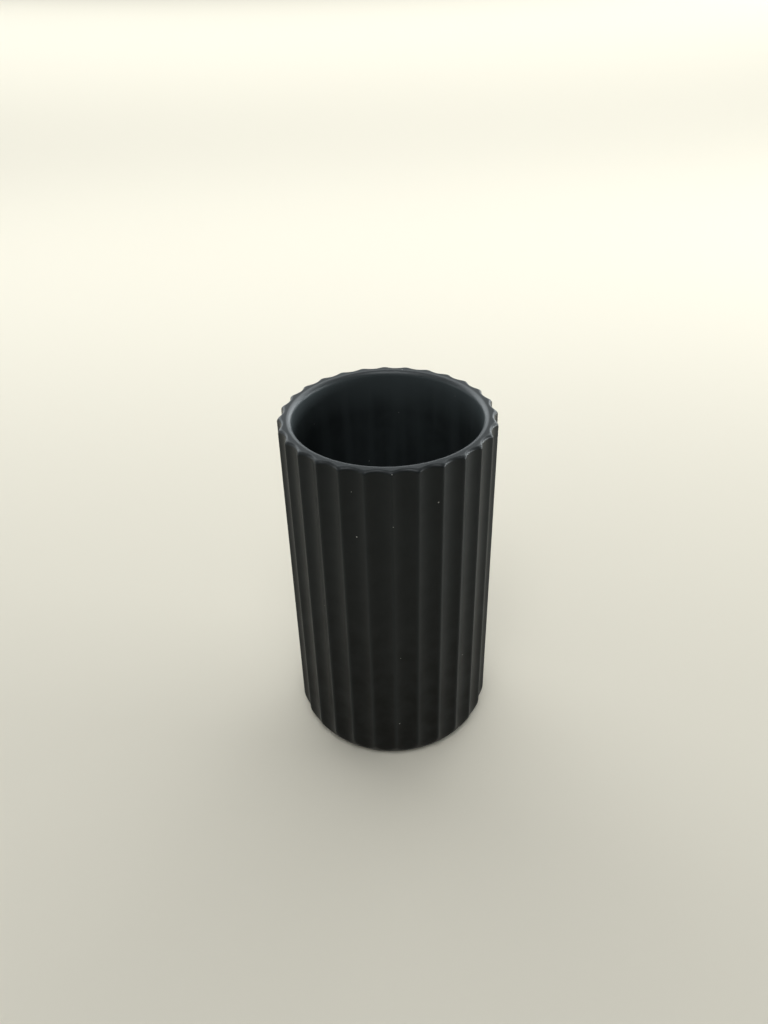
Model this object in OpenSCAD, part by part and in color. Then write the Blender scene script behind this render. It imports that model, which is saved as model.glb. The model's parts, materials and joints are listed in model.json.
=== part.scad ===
// Tall fluted candle jar: a one-piece moulded vessel that stands on a stick-on pad.
// Millimetres, +Z up. The origin is the middle of the pad's underside, on the table,
// and a ridge between two flutes faces the front, -Y.

/* [Jar] */
// Height from the table to the rim
jar_h = 132.5; // [110:0.5:150]
// Width across the ridges
jar_d = 76; // [70:0.5:84]
// Wall thickness at a ridge
wall_t = 5.2; // [5:0.1:7]
// Thickness of the floor inside
floor_t = 6; // [4:0.5:10]
// Radius where the bore runs into the floor
floor_round = 7; // [3:0.5:12]

/* [Flutes] */
// Number of flutes round the wall
flute_count = 28; // [20:4:36]
// Depth of a flute at its middle
flute_depth = 1.5; // [0.6:0.1:1.7]
// Width of the blunt ridge between two flutes
ridge_w = 0.5; // [0.3:0.1:1.2]

/* [Rim] */
// Radius on the outer edge along each flute
rim_outer_round = 0.8; // [0.3:0.1:1]
// Radius over the top of each ridge
ridge_tip_round = 1.8; // [1.4:0.1:2.6]
// Radius on the inner edge
rim_inner_round = 2; // [0.5:0.1:2.2]

/* [Base] */
// Radius of the curve between the wall and the foot
base_round = 12; // [10:0.5:14]
// Height above the table at which that curve leaves the wall
base_round_top = 9; // [6:0.5:10]
// Radius under the outer edge of the foot
foot_round = 1; // [0.4:0.1:1.5]

/* [Pad] */
// Width of the stick-on pad
pad_d = 58; // [40:1:60]
// Thickness of the pad
pad_t = 1.6; // [1.2:0.1:2.4]
// How far the pad stands out below the foot
pad_proud = 0.8; // [0.4:0.1:1]
// Bevel round both faces of the pad
pad_bevel = 0.3; // [0.1:0.1:0.5]

/* [Hidden] */
$fn = 96;
cut = 1;
jar_r = jar_d / 2;
bore_r = jar_r - wall_t;
foot_z = pad_proud;
cavity_z = foot_z + floor_t;
pad_r = pad_d / 2;
pad_gap = 0.25;

// A flute is part of a cylinder that meets both of its ridges at the jar's full radius
ridge_angle = asin(ridge_w / 2 / jar_r);
flute_edge_angle = 180 / flute_count - ridge_angle;
flute_floor_r = jar_r - flute_depth;
flute_axis_r = (pow(jar_r, 2) - pow(flute_floor_r, 2))
    / (2 * (jar_r * cos(flute_edge_angle) - flute_floor_r));
flute_r = flute_axis_r - flute_floor_r;

// The round under the foot touches the base curve from inside, and the foot's flat face
base_centre = [jar_r - base_round, base_round_top];
foot_centre_z = foot_z + foot_round;
foot_centre = [
    base_centre.x + sqrt(pow(base_round - foot_round, 2) - pow(base_round_top - foot_centre_z, 2)),
    foot_centre_z
];
foot_direction = (foot_centre - base_centre) / norm(foot_centre - base_centre);

// What a round of radius r leaves of a square corner: the corner is at the origin,
// and the material lies towards -X and -Y
module corner_waste(r) {
    difference() {
        translate([-r, -r]) square(r + cut);
        translate([-r, -r]) circle(r);
    }
}

// Outside of the jar before it is fluted, as a half section
module body_section() {
    difference() {
        translate([0, foot_z]) square([jar_r, jar_h - foot_z]);
        translate([jar_r, jar_h]) corner_waste(ridge_tip_round);
        base_waste();
        foot_waste();
    }
}

// What the base curve takes off below the straight wall
module base_waste() {
    difference() {
        translate([base_centre.x, -cut]) square([base_round + cut, base_round_top + cut]);
        translate(base_centre) circle(base_round);
    }
}

// What the small round takes off where the base curve meets the flat foot
module foot_waste() {
    difference() {
        polygon([
            foot_centre,
            [foot_centre.x, foot_z - cut],
            foot_centre + (foot_round + cut) * [foot_direction.x, -1],
            foot_centre + (foot_round + cut) * foot_direction
        ]);
        translate(foot_centre) circle(foot_round);
    }
}

// Inside of the jar as a half section: round at the floor, flared over the rim's inner edge
module cavity_section() {
    difference() {
        translate([0, cavity_z]) square([bore_r, jar_h - cavity_z + cut]);
        translate([bore_r, cavity_z]) mirror([0, 1]) corner_waste(floor_round);
    }
    translate([bore_r, jar_h]) mirror([1, 0]) corner_waste(rim_inner_round);
}

// One flute's cutter as a half section: straight, then flared over the rim's outer edge
module flute_section() {
    translate([0, -cut]) square([flute_r, jar_h + 2 * cut]);
    translate([flute_r, jar_h]) mirror([1, 0]) corner_waste(rim_outer_round);
}

module flutes() {
    for (i = [0 : flute_count - 1])
        rotate([0, 0, -90 + (i + 0.5) * 360 / flute_count])
            translate([flute_axis_r, 0, 0])
                rotate_extrude() flute_section();
}

// Shallow recess under the foot that the pad is stuck into
module pad_recess() {
    translate([0, 0, foot_z - cut]) cylinder(r = pad_r + pad_gap, h = pad_t - pad_proud + cut);
}

module jar() {
    color([0.07, 0.07, 0.072])
        difference() {
            rotate_extrude() body_section();
            flutes();
            rotate_extrude() cavity_section();
            pad_recess();
        }
}

module base_pad() {
    color([0.16, 0.16, 0.155])
        rotate_extrude()
            polygon([
                [0, 0],
                [pad_r - pad_bevel, 0],
                [pad_r, pad_bevel],
                [pad_r, pad_t - pad_bevel],
                [pad_r - pad_bevel, pad_t],
                [0, pad_t]
            ]);
}

jar();
base_pad();
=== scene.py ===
"""The looks of a tall fluted candle jar: a matte black moulded vessel on a stick-on pad.

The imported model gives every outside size. Each class below makes one piece of the object or
of the studio round it, as a surface worked out on a grid, and dresses it in its finish.
"""

import json
import logging
import math
from dataclasses import dataclass
from enum import Enum
from typing import Any

import bpy
import numpy as np
from mathutils import Matrix, Vector


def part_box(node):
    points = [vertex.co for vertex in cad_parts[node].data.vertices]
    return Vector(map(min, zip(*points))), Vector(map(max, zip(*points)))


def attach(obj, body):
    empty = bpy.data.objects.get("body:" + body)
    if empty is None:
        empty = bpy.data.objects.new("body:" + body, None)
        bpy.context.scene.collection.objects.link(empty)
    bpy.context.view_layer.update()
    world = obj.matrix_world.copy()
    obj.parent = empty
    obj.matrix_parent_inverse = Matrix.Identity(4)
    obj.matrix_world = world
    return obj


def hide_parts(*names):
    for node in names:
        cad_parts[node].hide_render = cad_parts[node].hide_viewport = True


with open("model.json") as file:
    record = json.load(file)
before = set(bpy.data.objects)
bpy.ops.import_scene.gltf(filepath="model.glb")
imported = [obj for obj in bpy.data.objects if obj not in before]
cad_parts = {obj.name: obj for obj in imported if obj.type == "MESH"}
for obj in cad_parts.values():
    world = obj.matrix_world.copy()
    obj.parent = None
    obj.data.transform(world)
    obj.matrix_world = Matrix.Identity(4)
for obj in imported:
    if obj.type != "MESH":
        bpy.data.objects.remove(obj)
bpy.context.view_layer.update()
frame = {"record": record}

LOG = logging.getLogger("candle_jar")
MM = 0.001
BODY = "root"


# ---------------------------------------------------------------------------
# Surfaces
# ---------------------------------------------------------------------------


@dataclass
class Rings:
    """A closed surface made of rings stacked along a profile, with a point at each end.

    Attributes:
        points: ring points, shape (rings, points round, 3), in metres.
        marks: named masks from 0 to 1, each of shape (rings, points round).
    """

    points: np.ndarray
    marks: dict[str, np.ndarray]

    def faces(self) -> tuple[np.ndarray, np.ndarray]:
        """Joins neighbouring rings with four-sided faces and fans the ends onto their poles.

        Ring i, place j is vertex i * n + j, and the first and last pole follow the rings.
        The seam is closed because place n is place 0 again.

        Returns:
            The four-sided faces and the three-sided faces, as vertex numbers.
        """
        rings, n = self.points.shape[:2]
        here = np.arange(n)
        after = (here + 1) % n
        low = np.arange(rings - 1)[:, None] * n
        quads = np.stack([low + here, low + after, low + n + after, low + n + here], axis=-1)
        first, last = rings * n, rings * n + 1
        top = (rings - 1) * n
        start_fan = np.stack([np.full(n, first), after, here], axis=-1)
        end_fan = np.stack([np.full(n, last), top + here, top + after], axis=-1)
        return quads.reshape(-1, 4), np.concatenate([start_fan, end_fan])

    def to_object(self, name: str) -> bpy.types.Object:
        """Makes a smooth-shaded mesh object of the rings, with the masks as attributes.

        Args:
            name: name of the piece.

        Returns:
            The new object, at the origin, in the scene.
        """
        poles = [self.points[0].mean(axis=0), self.points[-1].mean(axis=0)]
        vertices = np.concatenate([self.points.reshape(-1, 3), poles])
        quads, triangles = self.faces()
        corners = np.concatenate([quads.ravel(), triangles.ravel()]).astype(np.int32)
        counts = np.concatenate([np.full(len(quads), 4), np.full(len(triangles), 3)])
        starts = np.concatenate([[0], np.cumsum(counts)[:-1]]).astype(np.int32)

        mesh = bpy.data.meshes.new(name)
        mesh.vertices.add(len(vertices))
        mesh.vertices.foreach_set("co", vertices.astype(np.float32).ravel())
        mesh.loops.add(len(corners))
        mesh.loops.foreach_set("vertex_index", corners)
        mesh.polygons.add(len(counts))
        mesh.polygons.foreach_set("loop_start", starts)
        mesh.update(calc_edges=True)
        mesh.shade_smooth()
        for mark, values in self.marks.items():
            ends = [values[0].mean(), values[-1].mean()]
            attribute = mesh.attributes.new(mark, "FLOAT", "POINT")
            attribute.data.foreach_set("value", np.append(values.ravel(), ends).astype(np.float32))
        piece = bpy.data.objects.new(name, mesh)
        bpy.context.scene.collection.objects.link(piece)
        return piece


def arc(centre: tuple[float, float], radius: float, start: float, end: float, steps: int) -> np.ndarray:
    """Points along part of a circle in a half section.

    A point at angle t is the centre plus the radius times (cos t, sin t).

    Args:
        centre: distance from the axis and height of the centre.
        radius: radius of the arc.
        start: first angle, in degrees, from straight outwards and up.
        end: last angle, in degrees.
        steps: number of points, both ends included.

    Returns:
        Points of shape (steps, 2): distance from the axis, and height.
    """
    t = np.radians(np.linspace(start, end, steps))
    return np.stack([centre[0] + radius * np.cos(t), centre[1] + radius * np.sin(t)], axis=1)


def line(start: tuple[float, float], end: tuple[float, float], steps: int) -> np.ndarray:
    """Evenly spaced points on a straight line in a half section.

    Args:
        start: distance from the axis and height of the first point.
        end: the same for the last point.
        steps: number of points, both ends included.

    Returns:
        Points of shape (steps, 2).
    """
    t = np.linspace(0.0, 1.0, steps)[:, None]
    return (1 - t) * np.array(start) + t * np.array(end)


def soft_least(values: list[np.ndarray], width: float) -> np.ndarray:
    """The least of several lengths, with the corner where two of them cross rounded off.

    It is minus the width times the logarithm of the sum of exp(-value / width), so it runs
    into the least value away from a crossing and lies a little under it at one.

    Args:
        values: arrays that broadcast together, in metres.
        width: how far round a crossing the rounding reaches, in metres.

    Returns:
        The rounded least value.
    """
    least = np.minimum.reduce(np.broadcast_arrays(*values))
    total = sum(np.exp((least - value) / width) for value in values)
    return least - width * np.log(total)


def smooth_step(values: np.ndarray, low: Any, high: Any) -> np.ndarray:
    """A smooth rise of 3t^2 - 2t^3, where t is how far a value has gone from low to high.

    Args:
        values: what to measure.
        low: value, or values, at and below which the result is 0.
        high: value, or values, at and above which it is 1.

    Returns:
        Numbers from 0 to 1.
    """
    t = np.clip((values - low) / (high - low), 0.0, 1.0)
    return t * t * (3 - 2 * t)


# ---------------------------------------------------------------------------
# Shader tools and shared effects
# ---------------------------------------------------------------------------


class Sheet:
    """Adds and links the nodes of one node tree."""

    def __init__(self, tree: bpy.types.NodeTree) -> None:
        """Takes the tree to work on and empties it."""
        self.tree = tree
        self.tree.nodes.clear()

    def add(self, kind: str, inputs: dict[Any, Any] | None = None, **settings: Any) -> bpy.types.Node:
        """Adds a node, sets its properties and fills its inputs.

        Args:
            kind: the node's type.
            inputs: input name or number to a plain value, or to the output that feeds it.
            settings: properties of the node.

        Returns:
            The new node.
        """
        node = self.tree.nodes.new(kind)
        node.location = (220.0 * len(self.tree.nodes), 0.0)
        for name, value in settings.items():
            setattr(node, name, value)
        self.fill(node, inputs or {})
        return node

    def fill(self, node: bpy.types.Node, inputs: dict[Any, Any]) -> None:
        """Sets a node's inputs to plain values, or links them to the outputs that feed them.

        Args:
            node: the node.
            inputs: input name or number to a value or an output.
        """
        for name, value in inputs.items():
            if isinstance(value, bpy.types.NodeSocket):
                self.tree.links.new(value, node.inputs[name])
            else:
                node.inputs[name].default_value = value

    def close(self, kind: str, shader: bpy.types.NodeSocket) -> None:
        """Adds the tree's last node and feeds its surface.

        Args:
            kind: type of the last node.
            shader: the shader output that feeds it.
        """
        self.tree.links.new(shader, self.add(kind).inputs["Surface"])

    def maths(self, operation: str, *values: Any) -> bpy.types.NodeSocket:
        """The output of a Math node on numbers or outputs."""
        return self.add("ShaderNodeMath", dict(enumerate(values)), operation=operation).outputs["Value"]

    def between(self, factor: Any, low: float, high: float) -> bpy.types.NodeSocket:
        """A value that runs from low to high as factor runs from 0 to 1."""
        inputs = {"Value": factor, "To Min": low, "To Max": high}
        return self.add("ShaderNodeMapRange", inputs).outputs["Result"]

    def rise(self, value: Any, low: Any, high: Any) -> bpy.types.NodeSocket:
        """A mask that rises smoothly from 0 to 1 as value goes from low to high."""
        inputs = {"Value": value, "From Min": low, "From Max": high}
        node = self.add("ShaderNodeMapRange", inputs, interpolation_type="SMOOTHSTEP")
        return node.outputs["Result"]

    def blend(self, factor: Any, under: Any, over: Any) -> bpy.types.NodeSocket:
        """A colour mixed from under to over as factor goes from 0 to 1."""
        inputs = {0: factor, 6: under, 7: over}
        return self.add("ShaderNodeMix", inputs, data_type="RGBA").outputs[2]

    def noise(self, place: Any, size: Any, detail: float, roughness: float = 0.5) -> bpy.types.NodeSocket:
        """Smooth noise from 0 to 1 whose lumps are about size across, in metres."""
        scale = self.maths("DIVIDE", 1.0, size)
        inputs = {"Vector": place, "Scale": scale, "Detail": detail, "Roughness": roughness}
        return self.add("ShaderNodeTexNoise", inputs).outputs["Fac"]

    def mark(self, name: str) -> bpy.types.NodeSocket:
        """A mask that is stored on the piece."""
        return self.add("ShaderNodeAttribute", attribute_name=name).outputs["Fac"]


class Effect(Enum):
    """Surface effects that more than one finish uses, each one node group."""

    MOTTLE = "Cloudy mottle"
    GRAIN = "Fine grain"
    DUST = "Dust specks"


class Effects:
    """Builds each shared effect once and places it in materials."""

    def __init__(self) -> None:
        """Starts with no effect built."""
        self.built: dict[Effect, bpy.types.NodeTree] = {}

    def place(self, sheet: Sheet, effect: Effect, **inputs: Any) -> bpy.types.NodeSocket:
        """Places an effect in a material with its own values.

        Args:
            sheet: the material's node sheet.
            effect: which effect.
            inputs: the effect's inputs, with underscores for spaces.

        Returns:
            The effect's output.
        """
        if effect not in self.built:
            make = {
                Effect.MOTTLE: self._mottle,
                Effect.GRAIN: self._grain,
                Effect.DUST: self._dust,
            }
            self.built[effect] = make[effect]()
        node = sheet.add("ShaderNodeGroup", node_tree=self.built[effect])
        sheet.fill(node, {name.replace("_", " "): value for name, value in inputs.items()})
        return node.outputs[0]

    @staticmethod
    def _open(effect: Effect, numbers: dict[str, float], result: str) -> tuple[Sheet, Any, Any]:
        """Starts a group with a place input, number inputs and one number output.

        Args:
            effect: which effect the group is for.
            numbers: number inputs and their first values.
            result: name of the output.

        Returns:
            The group's sheet, its input node and its output node.
        """
        tree = bpy.data.node_groups.new(effect.value, "ShaderNodeTree")
        tree.interface.new_socket("Place", in_out="INPUT", socket_type="NodeSocketVector")
        for name, value in numbers.items():
            socket = tree.interface.new_socket(name, in_out="INPUT", socket_type="NodeSocketFloat")
            socket.default_value = value
        tree.interface.new_socket(result, in_out="OUTPUT", socket_type="NodeSocketFloat")
        sheet = Sheet(tree)
        return sheet, sheet.add("NodeGroupInput"), sheet.add("NodeGroupOutput")

    def _mottle(self) -> bpy.types.NodeTree:
        """A cloudy mask: broad noise with a finer noise over it, spread to fill 0 to 1."""
        sheet, given, out = self._open(Effect.MOTTLE, {"Size": 0.02, "Contrast": 0.5}, "Mask")
        broad = sheet.noise(given.outputs["Place"], given.outputs["Size"], 3.0)
        half = sheet.maths("MULTIPLY", given.outputs["Contrast"], 0.25)
        low = sheet.maths("SUBTRACT", 0.5, half)
        high = sheet.maths("ADD", 0.5, half)
        sheet.tree.links.new(sheet.rise(broad, low, high), out.inputs["Mask"])
        return sheet.tree

    def _grain(self) -> bpy.types.NodeTree:
        """A height for fine grain: a pebbled noise and a softer ripple four times as wide."""
        sheet, given, out = self._open(Effect.GRAIN, {"Size": 0.0006, "Ripple": 0.5}, "Height")
        fine = sheet.noise(given.outputs["Place"], given.outputs["Size"], 2.0, 0.6)
        wide_size = sheet.maths("MULTIPLY", given.outputs["Size"], 4.0)
        wide = sheet.noise(given.outputs["Place"], wide_size, 1.0)
        ripple = sheet.maths("MULTIPLY", wide, given.outputs["Ripple"])
        sheet.tree.links.new(sheet.maths("ADD", fine, ripple), out.inputs["Height"])
        return sheet.tree

    def _dust(self) -> bpy.types.NodeTree:
        """A mask of scattered specks on a flat or unrolled surface.

        Each is a round spot of its own size at the point of one of a few random cells.
        """
        sheet, given, out = self._open(
            Effect.DUST, {"Spacing": 0.006, "Speck": 0.0002, "Share": 0.1}, "Mask"
        )
        scale = sheet.maths("DIVIDE", 1.0, given.outputs["Spacing"])
        inputs = {"Vector": given.outputs["Place"], "Scale": scale}
        cells = sheet.add("ShaderNodeTexVoronoi", inputs, feature="F1", voronoi_dimensions="2D")
        away = sheet.maths("MULTIPLY", cells.outputs["Distance"], given.outputs["Spacing"])
        pick = sheet.add("ShaderNodeSeparateColor", {"Color": cells.outputs["Color"]})
        share_of_speck = sheet.between(pick.outputs["Green"], 0.4, 1.0)
        size = sheet.maths("MULTIPLY", share_of_speck, given.outputs["Speck"])
        spot = sheet.maths("SUBTRACT", 1.0, sheet.rise(away, sheet.maths("MULTIPLY", size, 0.5), size))
        chosen = sheet.maths("LESS_THAN", pick.outputs["Red"], given.outputs["Share"])
        sheet.tree.links.new(sheet.maths("MULTIPLY", spot, chosen), out.inputs["Mask"])
        return sheet.tree


# ---------------------------------------------------------------------------
# Finishes
# ---------------------------------------------------------------------------


Tone = tuple[float, float, float]


def shade(tone: Tone, times: float = 1.0) -> tuple[float, float, float, float]:
    """A tone made lighter or darker by a factor, as a shader colour."""
    return (tone[0] * times, tone[1] * times, tone[2] * times, 1.0)


@dataclass(frozen=True)
class MatteBlackGlaze:
    """Dense matte black glaze, faintly clouded and streaked, with a fine grain and some dust,
    painted shade low on the outside and painted light inside the jar.

    Attributes:
        black: colour of the glaze.
        painted_foot_shade: how much darker it is at the foot, where it has run down and pooled.
        worn: how much lighter it is on the ridges.
        rim_lighter: how much lighter it is on the rim.
        mouth: how much lighter it is just inside the mouth, painted light on the inner wall below the rim.
        burnish: weight of the sleeker skin that handling gives the rim's rounded edges.
        skin_bend: refractive index of that skin.
        clouding: how much lighter its lighter clouds are.
        cloud: width of a cloud, in metres.
        inside: how much lighter it is inside, painted light for the light that falls into the jar.
        streaking: how much lighter again its lighter streaks are inside.
        streak: width of a streak, in metres.
        streak_squash: width of a streak over its height.
        rough: roughness of the untouched glaze.
        uneven: how far its roughness strays either way, in smudges.
        smudge: width of a smudge, in metres.
        handled: how much smoother ridges and rim are.
        gloss: strength of its mirror part.
        grain: width of the fine grain, in metres.
        relief: depth of the grain, in metres.
        dust: colour of a speck of dust.
        dust_spacing: distance between places that could hold a speck, in metres.
        dust_size: radius of the largest speck, in metres.
        dust_share: share of those places that hold one.
    """

    black: Tone = (0.0128, 0.0146, 0.0148)
    painted_foot_shade: float = 0.15
    worn: float = 1.05
    rim_lighter: float = 1.1
    mouth: float = 6.5
    burnish: float = 1.0
    skin_bend: float = 1.75
    clouding: float = 1.3
    cloud: float = 7 * MM
    inside: float = 2.7
    streaking: float = 1.25
    streak: float = 7 * MM
    streak_squash: float = 0.07
    rough: float = 0.42
    uneven: float = 0.03
    smudge: float = 24 * MM
    handled: float = 0.05
    gloss: float = 0.135
    grain: float = 0.45 * MM
    relief: float = 0.008 * MM
    dust: Tone = (0.42, 0.41, 0.38)
    dust_spacing: float = 14 * MM
    dust_size: float = 0.27 * MM
    dust_share: float = 0.16

    def make(self, effects: Effects, radius: float, height: float) -> bpy.types.Material:
        """Builds the material.

        Args:
            effects: the shared effects.
            radius: outer radius of the vessel, in metres.
            height: height of the vessel, in metres.

        Returns:
            The finish, ready for the jar.
        """
        material = bpy.data.materials.new("Matte black glaze")
        material.use_nodes = True
        sheet = Sheet(material.node_tree)
        place = sheet.add("ShaderNodeTexCoord").outputs["Object"]
        around, along = self._unrolled(sheet, place, radius)
        inner, ridge, rim, edge = (sheet.mark(name) for name in ("inner", "ridge", "rim", "edge"))

        flat = sheet.add("ShaderNodeCombineXYZ", {"X": around, "Y": sheet.maths("ADD", along, inner)})
        dust = effects.place(
            sheet,
            Effect.DUST,
            Place=flat.outputs["Vector"],
            Spacing=self.dust_spacing,
            Speck=self.dust_size,
            Share=self.dust_share,
        )
        clouds = effects.place(sheet, Effect.MOTTLE, Place=place, Size=self.cloud, Contrast=1.0)
        smudges = effects.place(sheet, Effect.MOTTLE, Place=place, Size=self.smudge, Contrast=0.8)
        grain = effects.place(sheet, Effect.GRAIN, Place=place, Size=self.grain, Ripple=0.8)
        squashed = sheet.maths("MULTIPLY", along, self.streak_squash)
        tall = sheet.add("ShaderNodeCombineXYZ", {"X": around, "Y": squashed}).outputs["Vector"]
        streaks = sheet.rise(sheet.noise(tall, self.streak, 1.5), 0.4, 0.7)
        streaks_inside = sheet.maths("MULTIPLY", streaks, inner)

        z = sheet.add("ShaderNodeSeparateXYZ", {"Vector": place}).outputs["Z"]
        # Painted shade: the outside grows darker towards the foot.
        outer = sheet.blend(
            sheet.rise(z, 0.0, height * 0.9), shade(self.black, self.painted_foot_shade), shade(self.black)
        )
        # Painted light: the whole inside is made lighter than the outside.
        plain = sheet.blend(inner, outer, shade(self.black, self.inside))
        clouded = sheet.blend(sheet.maths("MULTIPLY", clouds, 0.5), plain, shade(self.black, self.clouding))
        streaked = sheet.blend(streaks_inside, clouded, shade(self.black, self.inside * self.streaking))
        worn = sheet.blend(ridge, streaked, shade(self.black, self.worn * self.clouding))
        # The rim is lighter outside, and just inside the mouth it carries painted light.
        rim_and_mouth_light = sheet.blend(inner, shade(self.black, self.rim_lighter), shade(self.black, self.mouth))
        rimmed = sheet.blend(rim, worn, rim_and_mouth_light)
        dusty = sheet.blend(dust, rimmed, shade(self.dust))

        rough = sheet.between(smudges, self.rough - self.uneven, self.rough + self.uneven)
        touched = sheet.maths("MAXIMUM", ridge, rim)
        rough = sheet.maths("SUBTRACT", rough, sheet.maths("MULTIPLY", touched, self.handled))
        bump = sheet.add("ShaderNodeBump", {"Height": grain, "Distance": self.relief})
        inputs = {
            "Base Color": dusty,
            "Roughness": rough,
            "Normal": bump.outputs["Normal"],
            "Coat Weight": sheet.maths("MULTIPLY", edge, self.burnish),
        }
        shader = sheet.add("ShaderNodeBsdfPrincipled", inputs)
        shader.inputs["Specular IOR Level"].default_value = self.gloss
        shader.inputs["Coat Roughness"].default_value = self.rough + self.handled
        shader.inputs["Coat IOR"].default_value = self.skin_bend
        sheet.close("ShaderNodeOutputMaterial", shader.outputs["BSDF"])
        return material

    @staticmethod
    def _unrolled(
        sheet: Sheet, place: bpy.types.NodeSocket, radius: float
    ) -> tuple[bpy.types.NodeSocket, bpy.types.NodeSocket]:
        """Distances round the vessel and along its half section.

        The first is the angle from the front times the radius, and the second is the height
        minus the distance from the axis, which goes on changing over the flat floor and rim.

        Args:
            sheet: the material's node sheet.
            place: position on the object.
            radius: outer radius of the vessel, in metres.

        Returns:
            The two distances, in metres.
        """
        split = sheet.add("ShaderNodeSeparateXYZ", {"Vector": place})
        x, y, z = (split.outputs[axis] for axis in "XYZ")
        angle = sheet.maths("ARCTAN2", x, sheet.maths("MULTIPLY", y, -1.0))
        squares = sheet.maths("ADD", sheet.maths("POWER", x, 2.0), sheet.maths("POWER", y, 2.0))
        away = sheet.maths("SQRT", squares)
        return sheet.maths("MULTIPLY", angle, radius), sheet.maths("SUBTRACT", z, away)


@dataclass(frozen=True)
class PadRubber:
    """Dull dark grey sheet rubber, pressed with a fine cloth grain, with some lint on it.

    Attributes:
        grey: colour of the rubber.
        weave: distance between two threads of the cloth grain, in metres.
        relief: depth of the cloth grain, in metres.
        cloud: width of a cloud, in metres.
        clouding: how much lighter its lighter clouds are.
        sleek: roughness of its darker clouds.
        dull: roughness of its lighter clouds.
        lint: colour of a speck of lint.
        lint_spacing: distance between places that could hold a speck, in metres.
        lint_size: radius of the largest speck, in metres.
        lint_share: share of those places that hold one.
    """

    grey: Tone = (0.046, 0.046, 0.045)
    weave: float = 0.55 * MM
    relief: float = 0.05 * MM
    cloud: float = 6 * MM
    clouding: float = 1.35
    sleek: float = 0.78
    dull: float = 0.9
    lint: Tone = (0.3, 0.3, 0.28)
    lint_spacing: float = 5 * MM
    lint_size: float = 0.2 * MM
    lint_share: float = 0.25

    def make(self, effects: Effects) -> bpy.types.Material:
        """Builds the material.

        The cloth grain is the product of a wave along X and a wave along Y.

        Args:
            effects: the shared effects.

        Returns:
            The finish, ready for the pad.
        """
        material = bpy.data.materials.new("Pad rubber")
        material.use_nodes = True
        sheet = Sheet(material.node_tree)
        place = sheet.add("ShaderNodeTexCoord").outputs["Object"]
        clouds = effects.place(sheet, Effect.MOTTLE, Place=place, Size=self.cloud, Contrast=1.4)
        lint = effects.place(
            sheet,
            Effect.DUST,
            Place=place,
            Spacing=self.lint_spacing,
            Speck=self.lint_size,
            Share=self.lint_share,
        )
        grain = effects.place(sheet, Effect.GRAIN, Place=place, Size=0.3 * MM, Ripple=0.3)
        split = sheet.add("ShaderNodeSeparateXYZ", {"Vector": place})
        turns = 2 * math.pi / self.weave
        waves = [sheet.maths("SINE", sheet.maths("MULTIPLY", split.outputs[axis], turns)) for axis in "XY"]
        cloth = sheet.maths("MULTIPLY", *waves)
        height = sheet.maths("ADD", cloth, grain)

        tone = sheet.blend(clouds, shade(self.grey), shade(self.grey, self.clouding))
        linty = sheet.blend(lint, tone, shade(self.lint))
        bump = sheet.add("ShaderNodeBump", {"Height": height, "Distance": self.relief})
        inputs = {
            "Base Color": linty,
            "Roughness": sheet.between(clouds, self.sleek, self.dull),
            "Normal": bump.outputs["Normal"],
        }
        shader = sheet.add("ShaderNodeBsdfPrincipled", inputs)
        sheet.close("ShaderNodeOutputMaterial", shader.outputs["BSDF"])
        return material


@dataclass(frozen=True)
class PaleFloor:
    """Plain pale matte studio floor, without any shine.

    Attributes:
        colour: red, green and blue of the floor.
        rough: roughness of the floor.
    """

    colour: Tone = (0.79, 0.715, 0.60)
    rough: float = 0.8

    def make(self) -> bpy.types.Material:
        """Builds the material.

        Returns:
            The finish, ready for the floor.
        """
        material = bpy.data.materials.new("Pale floor")
        material.use_nodes = True
        shader = material.node_tree.nodes["Principled BSDF"]
        shader.inputs["Base Color"].default_value = shade(self.colour)
        shader.inputs["Roughness"].default_value = self.rough
        shader.inputs["Specular IOR Level"].default_value = 0.0
        return material


# ---------------------------------------------------------------------------
# Pieces
# ---------------------------------------------------------------------------


@dataclass
class Stations:
    """Where each ring of the jar lies, from the middle of its underside to that of its floor.

    Attributes:
        height: height of the ring.
        reach: distance from the axis to the jar's unfluted outline.
        flare: how far the flutes' own walls have drawn back at this ring.
        fluted: 1 where the flutes cut the ring, 0 where it is round.
        part: number of the stretch of the profile that the ring belongs to.
    """

    height: np.ndarray
    reach: np.ndarray
    flare: np.ndarray
    fluted: np.ndarray
    part: np.ndarray


class Part(Enum):
    """Stretches of the jar's profile."""

    UNDERSIDE = 0
    FOOT = 1
    WALL = 2
    RIM = 3
    INSIDE = 4


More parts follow.
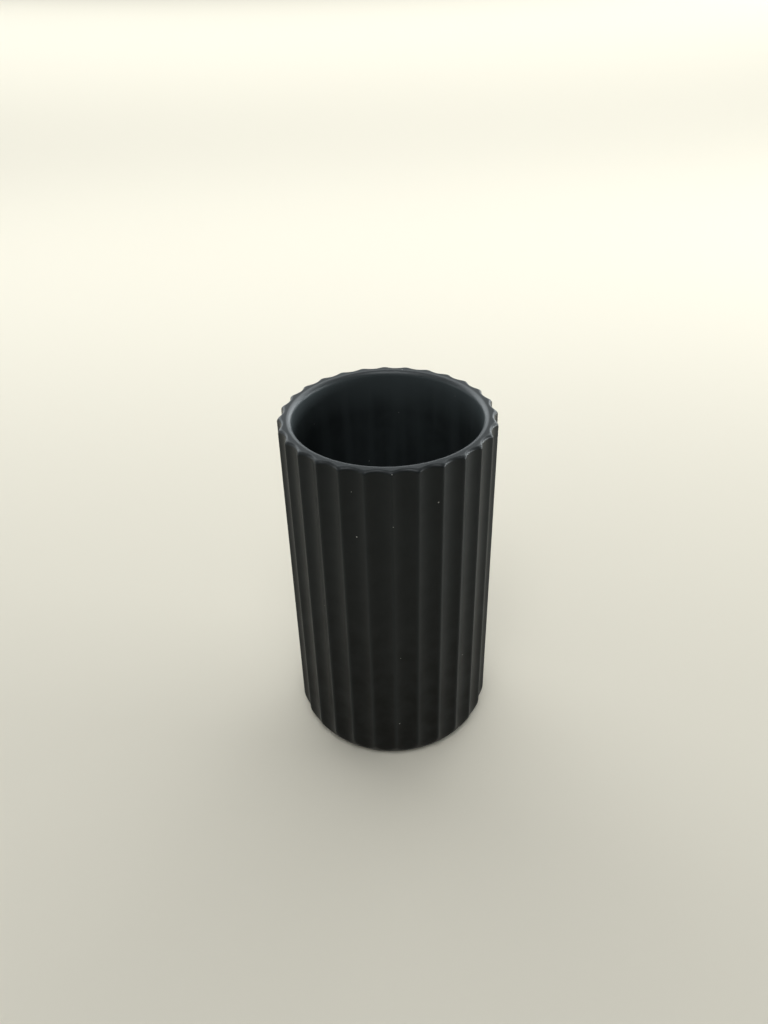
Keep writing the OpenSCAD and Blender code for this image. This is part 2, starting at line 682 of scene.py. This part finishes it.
@dataclass
class FlutedJar:
    """The moulded jar: fluted wall, scalloped rim, plain bore and curved-in base.

    Attributes:
        flutes: number of flutes.
        flute_depth: depth of a flute at its middle.
        ridge_width: width of the blunt ridge between two flutes.
        ridge_softness: how far the rounding of a ridge reaches.
        rim_round: radius of the rim's outer edge along a flute.
        tip_round: radius over the top of a ridge.
        base_round: radius of the curve between wall and foot.
        base_round_top: height at which that curve leaves the wall.
        foot_round: radius under the outer edge of the foot.
        recess_gap: room round the pad in its recess.
        recess_round: radius on the lower edge of the recess.
        floor_thickness: thickness of the floor above the foot.
        mouth_light_depth: how far down inside the painted light of the mouth reaches.
        crest: how far to each side of a ridge its wear reaches.
        steps_per_flute: points round one flute.
        crowding: how much closer the points lie on a ridge than in a flute, from 0 to 1.
    """

    flutes: int = 28
    flute_depth: float = 1.5 * MM
    ridge_width: float = 0.5 * MM
    ridge_softness: float = 0.2 * MM
    rim_round: float = 1.1 * MM
    tip_round: float = 1.8 * MM
    base_round: float = 12 * MM
    base_round_top: float = 9 * MM
    foot_round: float = 1 * MM
    recess_gap: float = 0.25 * MM
    recess_round: float = 0.3 * MM
    floor_thickness: float = 6 * MM
    mouth_light_depth: float = 6.5 * MM
    crest: float = 0.55 * MM
    steps_per_flute: int = 28
    crowding: float = 0.75

    def __post_init__(self) -> None:
        """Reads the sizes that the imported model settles."""
        low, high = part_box("jar")
        pad_low, pad_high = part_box("base_pad")
        mouth = next(m for m in frame["record"]["mounts"] if m["name"] == "mouth")
        self.radius = high.x
        self.top = high.z
        self.foot = low.z
        self.recess = pad_high.x + self.recess_gap
        self.recess_roof = pad_high.z
        self.bore = mouth["dims"]["r_mm"] * MM
        self.bore_top = mouth["pos_m"][2]
        self.bore_bottom = self.bore_top - mouth["dims"]["length_mm"] * MM

    def flute_circle(self) -> tuple[float, float]:
        """The circle that a flute is part of.

        It passes through the flute's deepest point and through its two ridges at full radius.

        Returns:
            Distance of its centre from the jar's axis, and its radius.
        """
        half = math.pi / self.flutes - math.asin(self.ridge_width / 2 / self.radius)
        deepest = self.radius - self.flute_depth
        centre = (self.radius**2 - deepest**2) / (2 * (self.radius * math.cos(half) - deepest))
        return centre, centre - deepest

    def angles(self) -> np.ndarray:
        """Angles of the points round the jar, closer together on the ridges.

        Within a flute the share s of the way across becomes s - crowding * sin(2 pi s) / 2 pi,
        whose slope is least at the ridges, s = 0 and s = 1. A ridge faces the front.

        Returns:
            Angles in radians from the front, -Y, towards +X.
        """
        share = np.arange(self.steps_per_flute) / self.steps_per_flute
        share = share - self.crowding * np.sin(2 * np.pi * share) / (2 * np.pi)
        flute = np.arange(self.flutes)[:, None]
        return ((flute + share) * 2 * np.pi / self.flutes).ravel()

    def stations(self) -> Stations:
        """The jar's half section, as rings.

        Returns:
            The rings from the middle of the underside, round the rim, to the middle of the floor.
        """
        curve = (self.radius - self.base_round, self.base_round_top)
        foot_height = self.foot + self.foot_round
        drop = self.base_round_top - foot_height
        foot = (curve[0] + math.sqrt((self.base_round - self.foot_round) ** 2 - drop**2), foot_height)
        lean = math.degrees(math.atan2(foot[1] - curve[1], foot[0] - curve[0]))
        lip = self.recess_round
        underside = np.concatenate([
            line((0.3 * self.recess, self.recess_roof), (self.recess, self.recess_roof), 4),
            line((self.recess, self.recess_roof - 0.1 * MM), (self.recess, self.foot + lip), 3),
            arc((self.recess + lip, self.foot + lip), lip, 195, 270, 5),
            line((self.recess + lip, self.foot), (foot[0], self.foot), 5)[1:],
        ])
        round_foot = np.concatenate([
            arc(foot, self.foot_round, -90, lean, 8)[1:],
            arc(curve, self.base_round, lean, 0, 26)[1:],
        ])
        tip_start = self.top - self.tip_round
        wall = line((self.radius, self.base_round_top), (self.radius, tip_start), 12)[1:]

        # Over the rim the flutes draw back along a quarter circle, and the ridges along a wider one
        low_tip = np.linspace(tip_start, self.top - self.rim_round, 4)[1:-1]
        turn = np.radians(np.linspace(0, 90, 16))
        rim_height = np.append(low_tip, self.top - self.rim_round + self.rim_round * np.sin(turn))
        rim_flare = np.append(np.zeros(len(low_tip)), self.rim_round * (1 - np.cos(turn)))
        climb = np.clip(rim_height - tip_start, 0, self.tip_round)
        rim_reach = self.radius - self.tip_round + np.sqrt(self.tip_round**2 - climb**2)

        inner_round = self.top - self.bore_top
        floor = self.foot + self.floor_thickness
        floor_round = self.bore_bottom - floor
        inside = np.concatenate([
            arc((self.bore + inner_round, self.bore_top), inner_round, 90, 180, 12),
            line((self.bore, self.bore_top), (self.bore, self.bore_bottom), 9)[1:],
            arc((self.bore - floor_round, self.bore_bottom), floor_round, 0, -90, 16)[1:],
            line((self.bore - floor_round, floor), (0.2 * self.bore, floor), 5)[1:],
        ])
        pieces = [
            (Part.UNDERSIDE, underside, 0.0, 0.0),
            (Part.FOOT, round_foot, 0.0, 1.0),
            (Part.WALL, wall, 0.0, 1.0),
            (Part.RIM, np.stack([rim_reach, rim_height], axis=1), rim_flare, 1.0),
            (Part.INSIDE, inside, 0.0, 0.0),
        ]
        return Stations(
            height=np.concatenate([p[:, 1] for _, p, _, _ in pieces]),
            reach=np.concatenate([p[:, 0] for _, p, _, _ in pieces]),
            flare=np.concatenate([np.broadcast_to(f, len(p)) for _, p, f, _ in pieces]),
            fluted=np.concatenate([np.full(len(p), w) for _, p, _, w in pieces]),
            part=np.concatenate([np.full(len(p), n.value) for n, p, _, _ in pieces]),
        )

    def surface(self) -> Rings:
        """Carries the half section round the jar and cuts the flutes into it.

        At an angle b from a flute's middle, its circle lies at c cos b - sqrt(q^2 - c^2 sin^2 b)
        from the axis, where c is how far out its centre is, and q its radius plus the flare.
        A ring's radius is the soft least of that for the nearest flutes and of the outline.
        The edge mask is a half sine over each of the rim's rounds, half as strong outside.

        Returns:
            The closed surface, with masks for its edges and its inside.
        """
        rings = self.stations()
        angle = self.angles()
        step = 2 * np.pi / self.flutes
        centre, radius = self.flute_circle()
        past = np.mod(angle, step)
        reach = rings.reach[:, None]
        across = radius + rings.flare[:, None]

        def flute_wall(off_middle: np.ndarray) -> np.ndarray:
            """Distance from the axis to a flute's wall at an angle from its middle."""
            bow = np.maximum(across**2 - (centre * np.sin(off_middle)) ** 2, 0.0)
            return centre * np.cos(off_middle) - np.sqrt(bow)

        near = flute_wall(past - step / 2)
        before = flute_wall(past + step / 2)
        after = flute_wall(1.5 * step - past)
        cut = soft_least([near, before, after, reach], self.ridge_softness)
        out = np.where(rings.fluted[:, None] > 0, cut, reach)
        points = np.stack(
            [out * np.sin(angle), -out * np.cos(angle), np.broadcast_to(rings.height[:, None], out.shape)],
            axis=-1,
        )
        crest = np.exp(-((np.minimum(past, step - past) * self.radius / self.crest) ** 2))
        ribbed = rings.fluted * smooth_step(rings.height, self.base_round_top / 2, self.base_round_top)
        inside = rings.part == Part.INSIDE.value
        # Inside, the rim mask reaches as far down as the painted light of the mouth.
        fade = np.where(inside, self.mouth_light_depth, self.tip_round)
        over = smooth_step(rings.height, self.top - fade, self.top)
        bend = np.interp(rings.reach, [self.bore, self.bore + self.top - self.bore_top], [0, np.pi])
        lip = inside * np.sin(bend)
        shoulder = np.sin(np.pi * np.clip(rings.flare / self.rim_round, 0, 1))
        inner = inside * smooth_step(-rings.height, -self.top, -self.bore_top)
        marks = {
            "ridge": crest[None, :] * ribbed[:, None],
            "rim": np.broadcast_to(over[:, None], out.shape),
            "edge": np.broadcast_to(np.maximum(lip, shoulder / 2)[:, None], out.shape),
            "inner": np.broadcast_to(inner[:, None], out.shape),
        }
        return Rings(points, marks)

    def build(self, effects: Effects) -> bpy.types.Object:
        """Makes the jar and dresses it.

        Args:
            effects: the shared effects.

        Returns:
            The finished jar.
        """
        piece = self.surface().to_object("fluted_jar")
        piece.data.materials.append(MatteBlackGlaze().make(effects, self.radius, self.top))
        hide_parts("jar")
        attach(piece, BODY)
        return piece


@dataclass
class BasePad:
    """The round pad stuck into the recess under the foot.

    Attributes:
        edge: radius of its die-cut edges.
        bulge: how far its side swells between them.
        steps_round: points round the pad.
    """

    edge: float = 0.3 * MM
    bulge: float = 0.05 * MM
    steps_round: int = 240

    def surface(self) -> Rings:
        """A disc: flat faces joined by a side that swells as a half sine between round edges."""
        low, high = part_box("base_pad")
        radius, bottom, top = high.x - self.bulge, low.z, high.z
        inner = radius - self.edge
        section = np.concatenate([
            line((0.1 * radius, bottom), (inner, bottom), 10),
            arc((inner, bottom + self.edge), self.edge, -90, 0, 6)[1:],
            line((radius, bottom + self.edge), (radius, top - self.edge), 5)[1:],
            arc((inner, top - self.edge), self.edge, 0, 90, 6)[1:],
            line((inner, top), (0.1 * radius, top), 10)[1:],
        ])
        side = np.clip((section[:, 1] - bottom) / (top - bottom), 0, 1)
        reach = section[:, 0] + np.where(section[:, 0] > inner, self.bulge * np.sin(np.pi * side), 0.0)
        angle = np.linspace(0, 2 * np.pi, self.steps_round, endpoint=False)
        points = np.stack(
            [
                reach[:, None] * np.sin(angle),
                -reach[:, None] * np.cos(angle),
                np.broadcast_to(section[:, 1:], (len(section), len(angle))),
            ],
            axis=-1,
        )
        return Rings(points, {})

    def build(self, effects: Effects) -> bpy.types.Object:
        """Makes the pad and dresses it.

        Args:
            effects: the shared effects.

        Returns:
            The finished pad.
        """
        piece = self.surface().to_object("foot_pad")
        piece.data.materials.append(PadRubber().make(effects))
        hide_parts("base_pad")
        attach(piece, BODY)
        return piece


# ---------------------------------------------------------------------------
# Studio
# ---------------------------------------------------------------------------


@dataclass(frozen=True)
class SoftBox:
    """A soft light that points at the middle of the jar, or straight down, and isn't seen.

    Attributes:
        name: what the light is called.
        bearing: direction it stands in, in degrees from the front towards the right.
        climb: how high above that middle it stands, in degrees.
        away: distance from the middle of the jar, in metres.
        size: width and height of its face, in metres.
        power: its power, in watts.
        level: whether it lies level, and so points straight down.
    """

    name: str
    bearing: float
    climb: float
    away: float
    size: tuple[float, float]
    power: float
    level: bool = False

    def hang(self, target: Vector, colour: Tone) -> None:
        """Hangs the light and turns it to the target.

        Args:
            target: middle of the jar.
            colour: colour of the light.
        """
        bearing, climb = math.radians(self.bearing), math.radians(self.climb)
        flat = math.cos(climb)
        towards = Vector((math.sin(bearing) * flat, -math.cos(bearing) * flat, math.sin(climb)))
        light = bpy.data.lights.new(self.name, "AREA")
        light.shape = "RECTANGLE"
        light.size, light.size_y = self.size
        light.energy = self.power
        light.color = colour
        lamp = bpy.data.objects.new(self.name, light)
        lamp.location = target + self.away * towards
        if not self.level:
            lamp.rotation_euler = (-towards).to_track_quat("-Z", "Y").to_euler()
        lamp.visible_camera = False
        bpy.context.scene.collection.objects.link(lamp)


@dataclass
class Studio:
    """Pale floor, pale backdrop and cool soft boxes, most of them behind the jar.

    Attributes:
        floor_width: width of the floor.
        middle: height of the point the lights are turned to.
        sky: brightness that the surroundings light the jar with.
        backdrop: brightness of the pale backdrop where it is seen past the floor.
        light: colour of the lights.
        boxes: the soft boxes.
    """

    floor_width: float = 8.0
    middle: float = 70 * MM
    sky: float = 0.03
    backdrop: float = 0.6
    light: Tone = (0.93, 1.0, 1.03)
    boxes: tuple[SoftBox, ...] = (
        SoftBox("over the far floor", 180, 24, 2.5, (4.4, 3.0), 62.0, level=True),
        SoftBox("close over the floor behind", 180, 34, 0.6, (1.6, 0.6), 2.4, level=True),
        SoftBox("behind", 180, 40, 3.2, (3.0, 2.0), 2.0),
        SoftBox("left, in front", -34, 40, 1.3, (1.2, 1.2), 2.6),
        SoftBox("over the front", -4, 64, 1.3, (0.6, 0.6), 5.0),
        SoftBox("right", 98, 5, 1.3, (1.0, 0.24), 15.0),
        SoftBox("right, behind", 140, 12, 4.3, (2.8, 1.2), 42.0),
        SoftBox("left", -92, 5, 1.3, (0.8, 0.24), 4.5),
        SoftBox("left, behind", -140, 12, 4.3, (2.8, 1.2), 26.0),
    )

    def build(self) -> None:
        """Lays the floor, hangs the lights and shows the picture's tones as they are."""
        half = self.floor_width / 2
        corners = [(-half, -half, 0), (half, -half, 0), (half, half, 0), (-half, half, 0)]
        mesh = bpy.data.meshes.new("studio_floor")
        mesh.from_pydata(corners, [], [(0, 1, 2, 3)])
        floor = bpy.data.objects.new("studio_floor", mesh)
        mesh.materials.append(PaleFloor().make())
        bpy.context.scene.collection.objects.link(floor)

        world = bpy.data.worlds.new("Dim surroundings")
        world.use_nodes = True
        sheet = Sheet(world.node_tree)
        seen = sheet.add("ShaderNodeLightPath").outputs["Is Camera Ray"]
        inputs = {"Color": shade(self.light), "Strength": sheet.between(seen, self.sky, self.backdrop)}
        around = sheet.add("ShaderNodeBackground", inputs)
        sheet.close("ShaderNodeOutputWorld", around.outputs["Background"])
        bpy.context.scene.world = world
        for box in self.boxes:
            box.hang(Vector((0, 0, self.middle)), self.light)
        bpy.context.scene.view_settings.view_transform = "Standard"


@dataclass
class Viewpoint:
    """The camera: above the jar and in front of it, looking down into its mouth.

    Lengths are in outer radii of the jar.

    Attributes:
        distance: how far in front of the axis it stands.
        height: how high above the rim.
        aside: how far to the right.
        pitch: how far down it looks, in degrees.
        roll: how far it leans, in degrees.
        turn: how far round the jar it has moved, in degrees, so that no ridge is dead ahead.
        field: half of the view's height over its distance.
    """

    distance: float = 6.961
    height: float = 3.773
    aside: float = -0.054
    pitch: float = 34.86
    roll: float = -1.474
    turn: float = -0.85
    field: float = 0.5849

    def build(self) -> None:
        """Places the camera and makes it the scene's."""
        low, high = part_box("jar")
        radius, pitch, roll = high.x, math.radians(self.pitch), math.radians(self.roll)
        ahead = Vector((0, math.cos(pitch), -math.sin(pitch)))
        right = Vector((1, 0, 0))
        up = right.cross(ahead)
        across = math.cos(roll) * right + math.sin(roll) * up
        upright = math.cos(roll) * up - math.sin(roll) * right
        spin = Matrix.Rotation(math.radians(self.turn), 4, "Z")
        place = Matrix((across, upright, -ahead)).transposed().to_4x4()
        place.translation = Vector(
            (self.aside * radius, -self.distance * radius, high.z + self.height * radius)
        )
        data = bpy.data.cameras.new("Camera")
        data.sensor_width = 36.0
        data.lens = data.sensor_width / 2 / self.field
        data.clip_start = 0.01
        camera = bpy.data.objects.new("Camera", data)
        camera.matrix_world = spin @ place
        bpy.context.scene.collection.objects.link(camera)
        bpy.context.scene.camera = camera


def main() -> None:
    """Builds the jar, its pad and the studio, in order."""
    logging.basicConfig(level=logging.INFO, format="%(name)s: %(message)s")
    effects = Effects()
    Viewpoint().build()
    for builder in (FlutedJar(), BasePad()):
        piece = builder.build(effects)
        LOG.info("%s: %d vertices, %d faces", piece.name, len(piece.data.vertices), len(piece.data.polygons))
    Studio().build()


if __name__ == "__main__":
    main()
